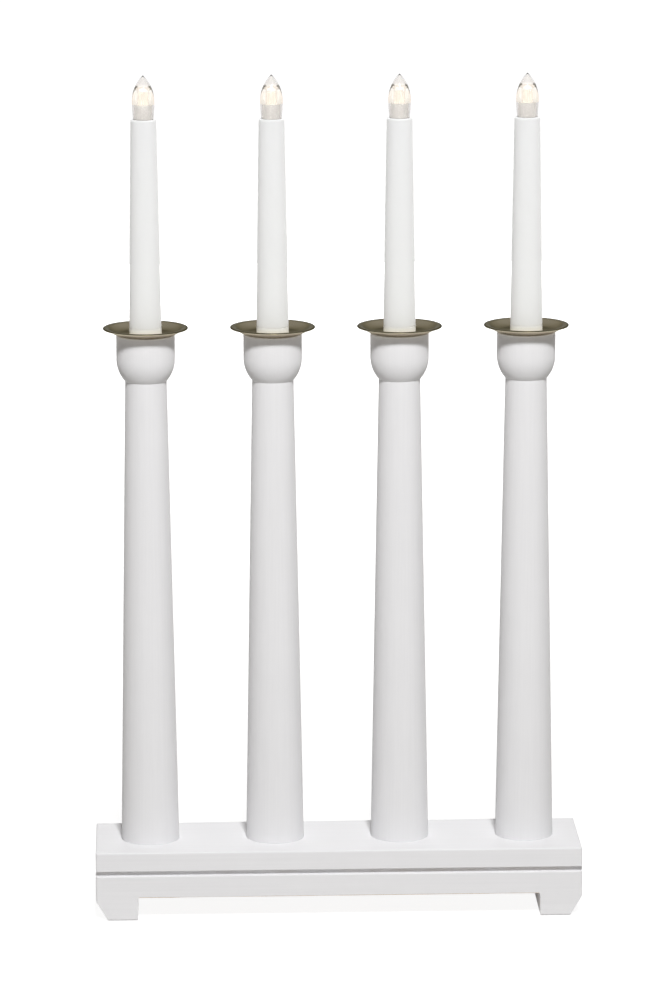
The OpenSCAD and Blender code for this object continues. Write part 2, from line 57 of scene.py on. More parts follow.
# Sizes of the turned and moulded pieces in millimetres, heights above the floor
COLUMN_FOOT_R = 18.5
COLUMN_NECK_R = 13.1
COLUMN_NECK_Z = 343.1
COLUMN_BORE_R = 4.5
COLUMN_EDGE = 0.25
TENON_R = 10.0
BOWL_HEIGHT = 14.2
CUP_EDGE = 0.4
SPIGOT_FOOT_R = 9.05
SPIGOT_TOP_R = 8.83
TRAY_HOLE_R = 9.2
TRAY_THICKNESS = 0.8
TRAY_FLAT_R = 15.0
TRAY_RIM_FLAT = 1.6
TRAY_RIM_BEND = 2.5
TUBE_FOOT_R = 10.2
TUBE_TOP_R = 8.0
TUBE_WALL = 1.0
TUBE_EDGE = 1.0
TUBE_HOLE_R = 6.4
TUBE_LINE_RISE = 3.9
TUBE_LINE_HEIGHT = 0.5
TUBE_LINE_DEPTH = 0.25
BULB_R = 7.1
BULB_NECK_R = 6.4
BULB_SKIRT_R = 6.0
BULB_SHOULDER_RISE = 0.3
BULB_WIDEST_RISE = 11.2
BULB_TIP_ANGLE = math.radians(42)
BULB_TIP_ROUND = 0.4
BULB_WALL = 0.6
BULB_FLOOR = 1.2
FUNNEL_RISE = 3.2
BULB_STEM_HOLE_R = 2.65
CORE_R = 3.3
CORE_HEIGHT = 7.7
CORE_GAP = 0.15
CORE_EDGE = 0.5
CORE_FLUTES = 16
CORE_FLUTE_DEPTH = 0.35
PLUG_R = 5.6
PLUG_RISE = 1.35
STEM_R = 2.5
STEM_FOOT_R = 3.35
STEM_FOOT_HEIGHT = 2.0
THREAD_R = 4.76
THREAD_DEPTH = 0.51
THREAD_PITCH = 1.814
THREAD_ROWS_A_TURN = 14
CAP_BORE_R = 3.45
GROOVE_LOW = 29.0
GROOVE_HIGH = 32.2
UNDERCUT_Z = 15.0
FOOT_INNER_X = 127.5

# How finely round shapes are cut
ROUND_STEPS = 6
BOWL_STEPS = 20
BULB_STEPS = 32
TURNED_SEGMENTS = 128
MOULDED_SEGMENTS = 96
RIBBED_SEGMENTS = 160
SHARP_ANGLE = math.radians(32)
ON_AXIS = 1e-6


def span(node, axis=2):
    """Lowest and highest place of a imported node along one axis, in millimetres."""
    low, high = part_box(node)
    return low[axis] / MM, high[axis] / MM


BEAM_TOP = span("base_beam")[1]
BEAM_FACE = span("base_beam", 1)[1]
TENON_Z, SPIGOT_Z = span("column_1")
CUP_R = (span("column_1", 0)[1] - span("column_1", 0)[0]) / 2
CUP_TOP, TRAY_HIGH = span("drip_tray_1")
TRAY_R = (span("drip_tray_1", 0)[1] - span("drip_tray_1", 0)[0]) / 2
TUBE_FOOT, TUBE_TOP = span("candle_tube_1")
SKIRT_Z, BULB_TOP = span("bulb_envelope_1")
CORE_LOW, CORE_TOP = span("bulb_core_1")
CORE_Z = CORE_TOP - CORE_HEIGHT
CAP_LOW, CAP_HIGH = span("bulb_cap_1")
CANDLE_X = {n: sum(span(f"column_{n}", 0)) / 2 for n in CANDLES}


# Camera

FRAME_HEIGHT_PX = 1000
FOCAL_PX = 5203.86
SENSOR = 36.0
VIEW_AZIMUTH = math.radians(-1.976)
VIEW_ELEVATION = math.radians(11.993)
VIEW_ROLL = math.radians(-0.155)
VIEW_DISTANCE = 3.3
VIEW_REACH = 100.0
VIEW_TARGET = Vector((-0.002838, 0.0, 0.265108))


def make_camera():
    """A long lens in front of the object, a little to its left and above."""
    sin_a, cos_a = math.sin(VIEW_AZIMUTH), math.cos(VIEW_AZIMUTH)
    sin_e, cos_e = math.sin(VIEW_ELEVATION), math.cos(VIEW_ELEVATION)
    back = Vector((sin_a * cos_e, -cos_a * cos_e, sin_e))
    level = Vector((cos_a, sin_a, 0))
    upright = Vector((-sin_a * sin_e, cos_a * sin_e, cos_e))
    right = level * math.cos(VIEW_ROLL) + upright * math.sin(VIEW_ROLL)
    up = upright * math.cos(VIEW_ROLL) - level * math.sin(VIEW_ROLL)
    data = bpy.data.cameras.new("camera")
    data.sensor_width = SENSOR
    data.lens = FOCAL_PX * SENSOR / FRAME_HEIGHT_PX
    data.clip_end = VIEW_REACH
    camera = bpy.data.objects.new("camera", data)
    turn = Matrix((right, up, back)).transposed().to_4x4()
    camera.matrix_world = Matrix.Translation(VIEW_TARGET + back * VIEW_DISTANCE) @ turn
    bpy.context.scene.collection.objects.link(camera)
    bpy.context.scene.camera = camera


make_camera()


# Node helpers

# The standard curve of a display
DISPLAY_STEPS = 255
CURVE_START = 0.04045
CURVE_SLOPE = 12.92
CURVE_OFFSET = 0.055
CURVE_POWER = 2.4

# Most of a noise lies between these values
NOISE_LOW = 0.3
NOISE_HIGH = 0.7


def display(red, green, blue):
    """The linear colour of an 8-bit display colour."""
    def linear(value):
        share = value / DISPLAY_STEPS
        if share <= CURVE_START:
            return share / CURVE_SLOPE
        return ((share + CURVE_OFFSET) / (1 + CURVE_OFFSET)) ** CURVE_POWER
    return (linear(red), linear(green), linear(blue), 1.0)


class Shader:
    """One material with its principled shader, and short ways to add nodes to it."""

    def __init__(self, name, **sockets):
        self.material = bpy.data.materials.new(name)
        self.material.use_nodes = True
        self.tree = self.material.node_tree
        self.surface = self.tree.nodes["Principled BSDF"]
        self.coordinates = self.tree.nodes.new("ShaderNodeTexCoord")
        self.place = self.coordinates.outputs["Object"]
        for socket, value in sockets.items():
            self.set(socket.replace("_", " "), value)

    def link(self, source, target):
        self.tree.links.new(source, target)

    def feed(self, target, value):
        """Sets a socket to a number or colour, or links it to another node's output."""
        if isinstance(value, bpy.types.NodeSocket):
            self.link(value, target)
        else:
            target.default_value = value

    def set(self, socket, value):
        """Feeds a socket of the surface itself."""
        self.feed(self.surface.inputs[socket], value)

    def stretched(self, scale):
        """The object's own coordinates, scaled along each axis."""
        mapping = self.tree.nodes.new("ShaderNodeMapping")
        mapping.inputs["Scale"].default_value = scale
        self.link(self.place, mapping.inputs["Vector"])
        return mapping.outputs["Vector"]

    def axes(self):
        """The object's own X, Y and Z as three numbers."""
        node = self.tree.nodes.new("ShaderNodeSeparateXYZ")
        self.link(self.place, node.inputs["Vector"])
        return node.outputs["X"], node.outputs["Y"], node.outputs["Z"]

    def radius(self):
        """The distance from the object's own Z axis."""
        across, along, _ = self.axes()
        squares = self.math("ADD", self.times(across, across), self.times(along, along))
        return self.math("POWER", squares, 0.5)

    def upward(self):
        """How far the surface faces up: one on top, and minus one underneath."""
        node = self.tree.nodes.new("ShaderNodeSeparateXYZ")
        self.link(self.coordinates.outputs["Normal"], node.inputs["Vector"])
        return node.outputs["Z"]

    def noise(self, scale, detail=3.0, vector=None):
        """Cloudy noise, whose scale is in lumps a metre."""
        node = self.tree.nodes.new("ShaderNodeTexNoise")
        node.inputs["Scale"].default_value = scale
        node.inputs["Detail"].default_value = detail
        self.link(vector or self.place, node.inputs["Vector"])
        return node.outputs["Fac"]

    def rings(self, radius, scale):
        """Noise that changes with the radius alone, as on a spun surface."""
        node = self.tree.nodes.new("ShaderNodeTexNoise")
        node.noise_dimensions = "1D"
        node.inputs["Scale"].default_value = scale
        self.link(radius, node.inputs["W"])
        return node.outputs["Fac"]

    def math(self, operation, first, second=0.0):
        node = self.tree.nodes.new("ShaderNodeMath")
        node.operation = operation
        self.feed(node.inputs[0], first)
        self.feed(node.inputs[1], second)
        return node.outputs["Value"]

    def times(self, first, *others):
        """The product of all the values."""
        for other in others:
            first = self.math("MULTIPLY", first, other)
        return first

    def weighted(self, first, first_share, second, second_share):
        """The sum of two values, each times its share."""
        return self.math("ADD", self.times(first, first_share), self.times(second, second_share))

    def mix(self, share, first, second):
        """A colour between two colours."""
        node = self.tree.nodes.new("ShaderNodeMix")
        node.data_type = "RGBA"
        self.feed(node.inputs["Factor"], share)
        self.feed(node.inputs["A"], first)
        self.feed(node.inputs["B"], second)
        return node.outputs["Result"]

    def remap(self, value, low, high, to_low=0.0, to_high=1.0, smooth=False):
        """Carries the range from low to high over to another range."""
        node = self.tree.nodes.new("ShaderNodeMapRange")
        node.interpolation_type = "SMOOTHSTEP" if smooth else "LINEAR"
        self.link(value, node.inputs["Value"])
        ends = {"From Min": low, "From Max": high, "To Min": to_low, "To Max": to_high}
        for socket, number in ends.items():
            node.inputs[socket].default_value = number
        return node.outputs["Result"]

    def spread(self, noise, to_low=0.0, to_high=1.0):
        """Carries the usual range of a noise over to another range."""
        return self.remap(noise, NOISE_LOW, NOISE_HIGH, to_low, to_high)

    def rise(self, value, low, high):
        """Zero below low and one above high, with a smooth step between them."""
        return self.remap(value, low, high, smooth=True)

    def fall(self, value, low, high):
        """One below low and zero above high, with a smooth step between them."""
        return self.remap(value, low, high, 1.0, 0.0, smooth=True)

    def band(self, value, low, high, soft):
        """One between low and high and zero outside, with soft ends, all in millimetres."""
        start = self.rise(value, (low - soft) * MM, (low + soft) * MM)
        end = self.fall(value, (high - soft) * MM, (high + soft) * MM)
        return self.times(start, end)

    def bump(self, height, strength, distance_mm, below=None):
        """The normal of a relief, laid over another one where below is given."""
        node = self.tree.nodes.new("ShaderNodeBump")
        node.inputs["Strength"].default_value = strength
        node.inputs["Distance"].default_value = distance_mm * MM
        self.link(height, node.inputs["Height"])
        if below is not None:
            self.link(below, node.inputs["Normal"])
        return node.outputs["Normal"]


# Paint on wood, with distances behind the beam's face and past its lower edge in millimetres

PAINT_WHITE = display(242, 242, 244)
PAINT_SHADE = display(239, 239, 241)
# Bare wood along the worn lower edges, and also the colour of the painted shade in the groove
BARE_WOOD_AND_GROOVE_SHADE = display(196, 170, 136)
COLUMN_GRAIN = (900, 900, 14)
BEAM_GRAIN = (12, 700, 700)
GROOVE_SHADE_FULL = 2.6
GROOVE_SHADE_END = 1.2
GROOVE_SILL = 0.5
GROOVE_SOFT = 0.3
MOST_SHADE_IN_GROOVE = 0.18
RUBBED_START = 2.2
RUBBED_FULL = 1.0
RUBBED_BELOW = 0.4
RUBBED_ABOVE = 0.3
RUBBED_SOFT = 0.2
RUBBED_END_SOFT = 0.5
LEAST_RUBBED = 0.2
MOST_RUBBED = 0.9


def painted_wood(name, grain):
    """White satin paint over wood whose grain runs along one axis, with a light brushed skin."""
    shader = Shader(name, Specular_IOR_Level=0.2, Diffuse_Roughness=0.3)
    fibres = shader.noise(scale=1.0, detail=5.0, vector=shader.stretched(grain))
    clouds = shader.noise(scale=28.0)
    skin = shader.noise(scale=850.0, detail=2.0)
    tone = shader.weighted(fibres, 0.6, clouds, 0.4)
    colour = shader.mix(shader.remap(tone, low=0.35, high=0.65), PAINT_SHADE, PAINT_WHITE)
    shader.set("Roughness", shader.spread(clouds, to_low=0.44, to_high=0.56))
    relief = shader.bump(fibres, strength=0.05, distance_mm=0.1)
    shader.set("Normal", shader.bump(skin, strength=0.1, distance_mm=0.06, below=relief))
    return shader, colour


def column_paint():
    """The columns' paint, with the grain upright."""
    shader, colour = painted_wood("column_paint", COLUMN_GRAIN)
    shader.set("Base Color", colour)
    return shader.material


def beam_paint():
    """The beam's paint, with painted shade as tan patches in the groove, and wood showing through where
    the paint is worn along its lower edges.
    """
    shader, colour = painted_wood("beam_paint", BEAM_GRAIN)
    across, depth, height = shader.axes()
    out = shader.math("ABSOLUTE", depth)
    # Painted shade: tan patches darken the groove's back wall
    inside = shader.fall(out, (BEAM_FACE - GROOVE_SHADE_FULL) * MM, (BEAM_FACE - GROOVE_SHADE_END) * MM)
    at_groove = shader.band(height, GROOVE_LOW + GROOVE_SILL, GROOVE_HIGH, GROOVE_SOFT)
    shade_patches = shader.noise(scale=22.0, detail=4.0)
    shade_patches = shader.remap(shade_patches, 0.42, 0.68, 0.0, MOST_SHADE_IN_GROOVE, smooth=True)
    colour = shader.mix(shader.times(inside, at_groove, shade_patches), colour, BARE_WOOD_AND_GROOVE_SHADE)
    at_face = shader.rise(out, (BEAM_FACE - RUBBED_START) * MM, (BEAM_FACE - RUBBED_FULL) * MM)
    low_edge = shader.band(height, UNDERCUT_Z - RUBBED_BELOW, UNDERCUT_Z + RUBBED_ABOVE, RUBBED_SOFT)
    between_feet = shader.band(across, -FOOT_INNER_X, FOOT_INNER_X, RUBBED_END_SOFT)
    rubbed = shader.noise(scale=35.0)
    rubbed = shader.remap(rubbed, 0.35, 0.6, LEAST_RUBBED, MOST_RUBBED, smooth=True)
    wear = shader.times(at_face, low_edge, between_feet, rubbed)
    shader.set("Base Color", shader.mix(wear, colour, BARE_WOOD_AND_GROOVE_SHADE))
    return shader.material


# Brass of the trays, with distances in from the rim and out from the cup in millimetres

BRASS_DARK = display(126, 119, 102)
BRASS_LIGHT = display(139, 131, 113)
BRASS_RIM_DARK_REFLECTION = display(86, 79, 60)
BRASS_UNDER_CUP_PAINTED_LIGHT = display(240, 228, 208)
BRASS_UNDER_RIM_PAINTED_LIGHT = display(152, 139, 121)
BRASS_EDGE_HIGHLIGHT = display(204, 198, 178)
BRASS_GRAZING = (0.34, 0.34, 0.31, 1.0)
SPUN_RINGS = 2600
RIM_START = 1.3
RIM_FULL = 0.8
UNDER_CUP_END = 0.7
UNDER_RIM_START = 1.8
EDGE_HIGHLIGHT_START = 0.45
EDGE_HIGHLIGHT_FULL = 0.3
UNDERNEATH_FULL = -0.25
UNDERNEATH_END = -0.05


def tray_brass():
    """Thin spun brass, aged on top, with a painted dark reflection along the rim, painted light underneath
    that is lightest by the cup, and a painted highlight along the edge's lower side.
    """
    shader = Shader("tray_brass", Metallic=1.0, Specular_Tint=BRASS_GRAZING)
    radius = shader.radius()
    clouds = shader.noise(scale=60.0, detail=4.0)
    aged = shader.mix(shader.spread(clouds), BRASS_DARK, BRASS_LIGHT)
    # Painted dark reflection along the top of the rim
    rim = shader.rise(radius, (TRAY_R - RIM_START) * MM, (TRAY_R - RIM_FULL) * MM)
    top = shader.mix(rim, aged, BRASS_RIM_DARK_REFLECTION)
    # Painted light underneath: the underside is lighter than the top, and lightest by the cup to lift the
    # shade of the crease there
    outward = shader.remap(radius, (CUP_R + UNDER_CUP_END) * MM, (TRAY_R - UNDER_RIM_START) * MM)
    below = shader.mix(outward, BRASS_UNDER_CUP_PAINTED_LIGHT, BRASS_UNDER_RIM_PAINTED_LIGHT)
    # Painted highlight: a thin bright line along the lower side of the rim's edge
    at_edge_highlight = shader.rise(radius, (TRAY_R - EDGE_HIGHLIGHT_START) * MM, (TRAY_R - EDGE_HIGHLIGHT_FULL) * MM)
    below = shader.mix(at_edge_highlight, below, BRASS_EDGE_HIGHLIGHT)
    underneath = shader.fall(shader.upward(), UNDERNEATH_FULL, UNDERNEATH_END)
    shader.set("Base Color", shader.mix(underneath, top, below))
    shader.set("Roughness", shader.spread(clouds, to_low=0.26, to_high=0.34))
    shader.set("Normal", shader.bump(shader.rings(radius, SPUN_RINGS), strength=0.12, distance_mm=0.05))
    return shader.material


# Plastic of the tubes

TUBE_WHITE_HIGH = display(248, 249, 250)
TUBE_PAINTED_LIGHT_LOW = display(253, 254, 253)
TUBE_PAINTED_WARM_LIGHT = display(252, 249, 236)
TUBE_WARM_LIGHT_HEIGHT = 5.5
TUBE_DEPTH_OF_LIGHT = 0.004
TUBE_LIGHT_SPREAD = (1.0, 1.0, 0.95)


def candle_plastic():
    """Satin white moulded plastic, with painted light: brighter towards its foot, and a warm painted light
    round the foot as if reflected up from the brass.
    """
    shader = Shader("candle_plastic", Specular_IOR_Level=0.3, Diffuse_Roughness=1.0, Subsurface_Weight=0.3,
                    Subsurface_Scale=TUBE_DEPTH_OF_LIGHT, Subsurface_Radius=TUBE_LIGHT_SPREAD)
    _, _, height = shader.axes()
    clouds = shader.noise(scale=40.0)
    skin = shader.noise(scale=1400.0, detail=2.0)
    foot_top = (TUBE_FOOT + TUBE_WARM_LIGHT_HEIGHT) * MM
    # Painted light: the white brightens from the top down to the foot
    low = shader.remap(height, foot_top, TUBE_TOP * MM, 1.0, 0.0)
    white = shader.mix(shader.weighted(clouds, 0.3, low, 0.7), TUBE_WHITE_HIGH, TUBE_PAINTED_LIGHT_LOW)
    # Painted warm light round the foot, as if reflected up from the brass tray
    foot = shader.fall(height, TUBE_FOOT * MM, foot_top)
    shader.set("Base Color", shader.mix(foot, white, TUBE_PAINTED_WARM_LIGHT))
    shader.set("Roughness", shader.spread(clouds, to_low=0.36, to_high=0.46))
    shader.set("Normal", shader.bump(skin, strength=0.08, distance_mm=0.05))
    return shader.material


# Lit lamps, with distances above the core in millimetres

GLASS_NECK_SHADE = display(219, 217, 215)
GLASS_SPECK_HIGHLIGHT = display(250, 250, 248)
GLASS_TIP = display(244, 242, 240)
GLASS_LIT = display(224, 219, 211)
GLASS_EDGE_SHADE = display(176, 163, 151)
GLASS_LIT_EDGE_SHADE = display(196, 158, 126)
GLASS_GLOW = display(255, 240, 219)
GLASS_GLOW_STRENGTH = 0.05
GLASS_IOR = 1.42
MOST_SPECK_HIGHLIGHTS = 0.7
LIT_RISE = 0.3
LIT_SOFT = 0.3
TIP_RISE = 1.3
GLOW_RISE = 0.5
GLOW_SOFT = 0.5
EDGE_SHADE_SHARE = 0.5
EDGE_SHADE_LIT_SHARE = 0.2
CORE_WHITE = display(255, 255, 255)
CORE_CREAM = display(246, 244, 239)
CORE_BODY = display(214, 213, 210)
CORE_STRENGTH = 0.64
CORE_SOFT = 0.1
PLUG_DARK = display(226, 223, 219)
PLUG_LIGHT = display(236, 233, 229)
PLUG_GLOW = display(236, 234, 231)
PLUG_STRENGTH = 0.5


def lamp_glass():
    """Clear lamp body: a neck tinted grey as painted shade of its darker inside, with specks of painted
    highlight, a lit middle that glows faintly, and a clear tip, with painted shade darkening the edges of
    its sides.
    """
    shader = Shader("lamp_glass", Transmission_Weight=1.0, IOR=GLASS_IOR, Emission_Color=GLASS_GLOW)
    _, _, height = shader.axes()
    lit = shader.band(height, CORE_Z, CORE_TOP + LIT_RISE, LIT_SOFT)
    tip = shader.rise(height, (CORE_TOP + LIT_RISE) * MM, (CORE_TOP + TIP_RISE) * MM)
    # Painted shade and highlights in the neck: a grey tint for the darker inside seen through it, with
    # bright specks
    highlight_specks_and_relief = shader.noise(scale=900.0, detail=2.0)
    speck_highlights = shader.remap(highlight_specks_and_relief, 0.58, 0.74, 0.0, MOST_SPECK_HIGHLIGHTS)
    colour = shader.mix(tip, shader.mix(speck_highlights, GLASS_NECK_SHADE, GLASS_SPECK_HIGHLIGHT), GLASS_TIP)
    colour = shader.mix(lit, colour, GLASS_LIT)
    # Painted shade: the glass darkens where its upright sides turn away from view
    facing = shader.tree.nodes.new("ShaderNodeLayerWeight")
    turned_away = shader.rise(facing.outputs["Facing"], low=0.35, high=0.85)
    edge_shade_share = shader.math("ADD", shader.times(lit, EDGE_SHADE_LIT_SHARE), EDGE_SHADE_SHARE)
    upright = shader.fall(shader.math("ABSOLUTE", shader.upward()), low=0.75, high=0.9)
    edge = shader.times(turned_away, edge_shade_share, upright)
    edge_shade_colour = shader.mix(lit, GLASS_EDGE_SHADE, GLASS_LIT_EDGE_SHADE)
    shader.set("Base Color", shader.mix(edge, colour, edge_shade_colour))
    scattered = shader.band(height, CORE_Z, CORE_TOP + FUNNEL_RISE + GLOW_RISE, GLOW_SOFT)
    shader.set("Emission Strength", shader.times(scattered, GLASS_GLOW_STRENGTH))
    shader.set("Roughness", shader.spread(highlight_specks_and_relief, to_low=0.02, to_high=0.06))
    shader.set("Normal", shader.bump(highlight_specks_and_relief, strength=0.05, distance_mm=0.05))
    return shader.material


def lamp_core():
    """The lit, ribbed light guide, white and creamier between its ribs, on a hazy plug."""
    shader = Shader("lamp_core", Roughness=0.4)
    _, _, height = shader.axes()
    rib = shader.remap(shader.radius(), (CORE_R - CORE_FLUTE_DEPTH) * MM, CORE_R * MM)
    glow = shader.mix(rib, CORE_CREAM, CORE_WHITE)
    above = shader.band(height, CORE_Z, CORE_TOP + CORE_GAP, CORE_SOFT)
    plug = shader.band(height, TUBE_TOP, CORE_Z, CORE_SOFT)
    hazy = shader.mix(shader.noise(scale=300.0), PLUG_DARK, PLUG_LIGHT)
    shader.set("Base Color", shader.mix(above, hazy, CORE_BODY))
    shader.set("Emission Color", shader.mix(plug, glow, PLUG_GLOW))
    shader.set("Emission Strength", shader.weighted(above, CORE_STRENGTH, plug, PLUG_STRENGTH))
    return shader.material


# Metals, plastics and board

SCRATCH_STRETCH = (300, 4000, 300)
BOARD_STRETCH = (600, 1500, 600)
BOARD_DARK = display(126, 92, 58)
BOARD_LIGHT = display(168, 130, 88)
SKIN_SPREAD = 0.06


def metal(name, dark, light, roughness_low, roughness_high):
    """Plated or stamped metal with faint clouds and fine scratches."""
    shader = Shader(name, Metallic=1.0)
    clouds = shader.noise(scale=120.0, detail=4.0)
    scratches = shader.noise(scale=1.0, vector=shader.stretched(SCRATCH_STRETCH))
    shader.set("Base Color", shader.mix(shader.spread(clouds), dark, light))
    shader.set("Roughness", shader.spread(scratches, roughness_low, roughness_high))
    shader.set("Normal", shader.bump(scratches, strength=0.08, distance_mm=0.03))
    return shader.material


def plastic(name, dark, light, roughness=0.45):
    """Moulded plastic with a fine matt grain."""
    shader = Shader(name, Specular_IOR_Level=0.35)
    clouds = shader.noise(scale=70.0)
    skin = shader.noise(scale=1600.0, detail=2.0)
    shader.set("Base Color", shader.mix(shader.spread(clouds), dark, light))
    shader.set("Roughness", shader.spread(skin, roughness - SKIN_SPREAD, roughness + SKIN_SPREAD))
    shader.set("Normal", shader.bump(skin, strength=0.1, distance_mm=0.04))
    return shader.material


def fibre_board():
    """Raw hard fibreboard with short, felted fibres."""
    shader = Shader("cover_board", Specular_IOR_Level=0.15)
    fibres = shader.noise(scale=1.0, detail=6.0, vector=shader.stretched(BOARD_STRETCH))
    clouds = shader.noise(scale=45.0, detail=4.0)
    tone = shader.remap(shader.weighted(fibres, 0.7, clouds, 0.3), low=0.32, high=0.68)
    shader.set("Base Color", shader.mix(tone, BOARD_DARK, BOARD_LIGHT))
    shader.set("Roughness", shader.spread(fibres, to_low=0.7, to_high=0.85))
    shader.set("Normal", shader.bump(fibres, strength=0.3, distance_mm=0.1))
    return shader.material


MATERIALS = {
    "painted_wood": column_paint(),
    "tray_brass": tray_brass(),
    "candle_plastic": candle_plastic(),
    "holder_plastic": plastic("holder_plastic", display(228, 225, 215), display(236, 233, 224)),
    "contact_brass": metal("contact_brass", display(190, 150, 74), display(214, 176, 98), 0.25, 0.4),
    "lamp_clear": lamp_glass(),
    "lamp_core": lamp_core(),
    "lamp_cap": metal("lamp_cap", display(196, 193, 186), display(222, 219, 212), 0.22, 0.36),
    "lamp_insulator": plastic("lamp_insulator", display(22, 22, 24), display(34, 34, 36), 0.3),
    "lamp_solder": metal("lamp_solder", display(170, 170, 168), display(200, 200, 198), 0.35, 0.5),
    "cover_board": fibre_board(),
    "screw_steel": metal("screw_steel", display(180, 180, 178), display(208, 208, 204), 0.28, 0.42),
    "bushing_plastic": plastic("bushing_plastic", display(236, 236, 234), display(244, 244, 242)),
    "terminal_plastic": plastic("terminal_plastic", display(228, 226, 216), display(238, 236, 228)),
    "wire_white": plastic("wire_white", display(230, 228, 220), display(240, 238, 231)),
    "wire_brown": plastic("wire_brown", display(104, 66, 38), display(122, 80, 48)),
    "wire_blue": plastic("wire_blue", display(46, 88, 160), display(62, 106, 178)),
}
NODE_MATERIALS = {"base_beam": beam_paint()}


def dress_packed_nodes():
    """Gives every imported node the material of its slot, or its own."""
    for row in frame["record"]["subparts"]:
        mesh = frame["nodes"][row["node"]].data
        mesh.materials.clear()
        mesh.materials.append(NODE_MATERIALS.get(row["node"], MATERIALS[row["material_slot"]]))


dress_packed_nodes()


# Mesh helpers

def arc(centre, r, start, end, steps):
    """Points on an arc from one angle to another, as (radius, height)."""
    angles = [start + (end - start) * k / steps for k in range(steps + 1)]
    return [(centre[0] + r * math.cos(a), centre[1] + r * math.sin(a)) for a in angles]


def round_corner(before, corner, after, r):
    """An arc that touches both edges of a corner."""
    corner = Vector(corner)
    back = (Vector(before) - corner).normalized()
    onward = (Vector(after) - corner).normalized()
    half = math.acos(max(-1.0, min(1.0, back.dot(onward)))) / 2
    centre = corner + (back + onward).normalized() * r / math.sin(half)
    start = corner + back * r / math.tan(half) - centre
    from_angle = math.atan2(start.y, start.x)
    turn = math.copysign(math.pi - 2 * half, onward.x * back.y - onward.y * back.x)
    return arc(centre, r, from_angle, from_angle + turn, ROUND_STEPS)


def lathe(name, outline, segments, shape=None):
    """Turns a closed outline of (radius, height) points, in millimetres, about Z.

    The outline goes up its outer side and down its inner one. shape(i, angle) gives the radius of
    point i at an angle where the piece isn't plainly round.
    """
    vertices, rings = [], []
    for i, (r, z) in enumerate(outline):
        first = len(vertices)
        if r < ON_AXIS:
            vertices.append((0.0, 0.0, z * MM))
            rings.append([first])
            continue
        for j in range(segments):
            angle = 2 * math.pi * j / segments
            at = (shape(i, angle) if shape else r) * MM
            vertices.append((at * math.cos(angle), at * math.sin(angle), z * MM))
        rings.append(list(range(first, first + segments)))
    faces = []
    for low, high in zip(rings, rings[1:] + rings[:1]):
        if len(low) == 1 and len(high) == 1:
            continue
        for j in range(segments):
            k = (j + 1) % segments
            if len(high) == 1:
                faces.append((low[j], low[k], high[0]))
            elif len(low) == 1:
                faces.append((low[0], high[k], high[j]))
            else:
                faces.append((low[j], low[k], high[k], high[j]))
    mesh = bpy.data.meshes.new(name)
    mesh.from_pydata(vertices, [], faces)
    mesh.polygons.foreach_set("use_smooth", [True] * len(mesh.polygons))
    mesh.set_sharp_from_angle(angle=SHARP_ANGLE)
    return mesh


def place(name, mesh, candle, body, node, slot):
    """Stands a turned piece on a candle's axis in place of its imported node."""
    piece = bpy.data.objects.new(name, mesh)
    piece.location = (CANDLE_X[candle] * MM, 0, 0)
    bpy.context.scene.collection.objects.link(piece)
    if not mesh.materials:
        mesh.materials.append(MATERIALS[slot])
    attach(piece, body)
    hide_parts(node)


# Pieces

def column_mesh():
    """A tapered, bored column with a round-bottomed cup, a tenon below it and a spigot on top."""
    bowl_step = CUP_R - COLUMN_NECK_R
    bowl_r = (BOWL_HEIGHT ** 2 + bowl_step ** 2) / (2 * bowl_step)
    bowl_angle = math.asin(BOWL_HEIGHT / bowl_r)
    foot = (COLUMN_FOOT_R, BEAM_TOP)
    neck = (COLUMN_NECK_R, COLUMN_NECK_Z)
    cup_rim = (CUP_R, CUP_TOP)
    outline = [(COLUMN_BORE_R, TENON_Z), (TENON_R, TENON_Z), (TENON_R, BEAM_TOP)]
    outline += round_corner((TENON_R, BEAM_TOP), foot, neck, COLUMN_EDGE)
    outline += arc((CUP_R - bowl_r, COLUMN_NECK_Z + BOWL_HEIGHT), bowl_r, -bowl_angle, 0, BOWL_STEPS)
    outline += round_corner(outline[-1], cup_rim, (SPIGOT_FOOT_R, CUP_TOP), CUP_EDGE)
    outline += [(SPIGOT_FOOT_R, CUP_TOP), (SPIGOT_TOP_R, SPIGOT_Z), (COLUMN_BORE_R, SPIGOT_Z)]
    return lathe("column", outline, TURNED_SEGMENTS)


def tray_mesh():
    """A sheet that is flat round the tube's foot, curves up and levels off at a round rim."""
    edge = TRAY_THICKNESS / 2
    rim = (TRAY_R - edge, TRAY_HIGH - edge)
    run = rim[0] - TRAY_FLAT_R - TRAY_RIM_FLAT
    rise = rim[1] - (CUP_TOP + edge)
    turn = 2 * math.atan(rise / run)
    bend = run / math.sin(turn) - TRAY_RIM_BEND
    low = (TRAY_FLAT_R, CUP_TOP + edge + bend)
    high = (rim[0] - TRAY_RIM_FLAT, rim[1] - TRAY_RIM_BEND)
    up = math.pi / 2
    outline = [(TRAY_HOLE_R, CUP_TOP)]
    outline += arc(low, bend + edge, -up, turn - up, BOWL_STEPS)
    outline += arc(high, TRAY_RIM_BEND - edge, up + turn, up, ROUND_STEPS)[1:]
    outline += arc(rim, edge, -up, up, 2 * ROUND_STEPS)
    outline += arc(high, TRAY_RIM_BEND + edge, up, up + turn, ROUND_STEPS)
    outline += arc(low, bend - edge, turn - up, -up, BOWL_STEPS)[1:]
    return lathe("tray", outline + [(TRAY_HOLE_R, CUP_TOP + TRAY_THICKNESS)], TURNED_SEGMENTS)


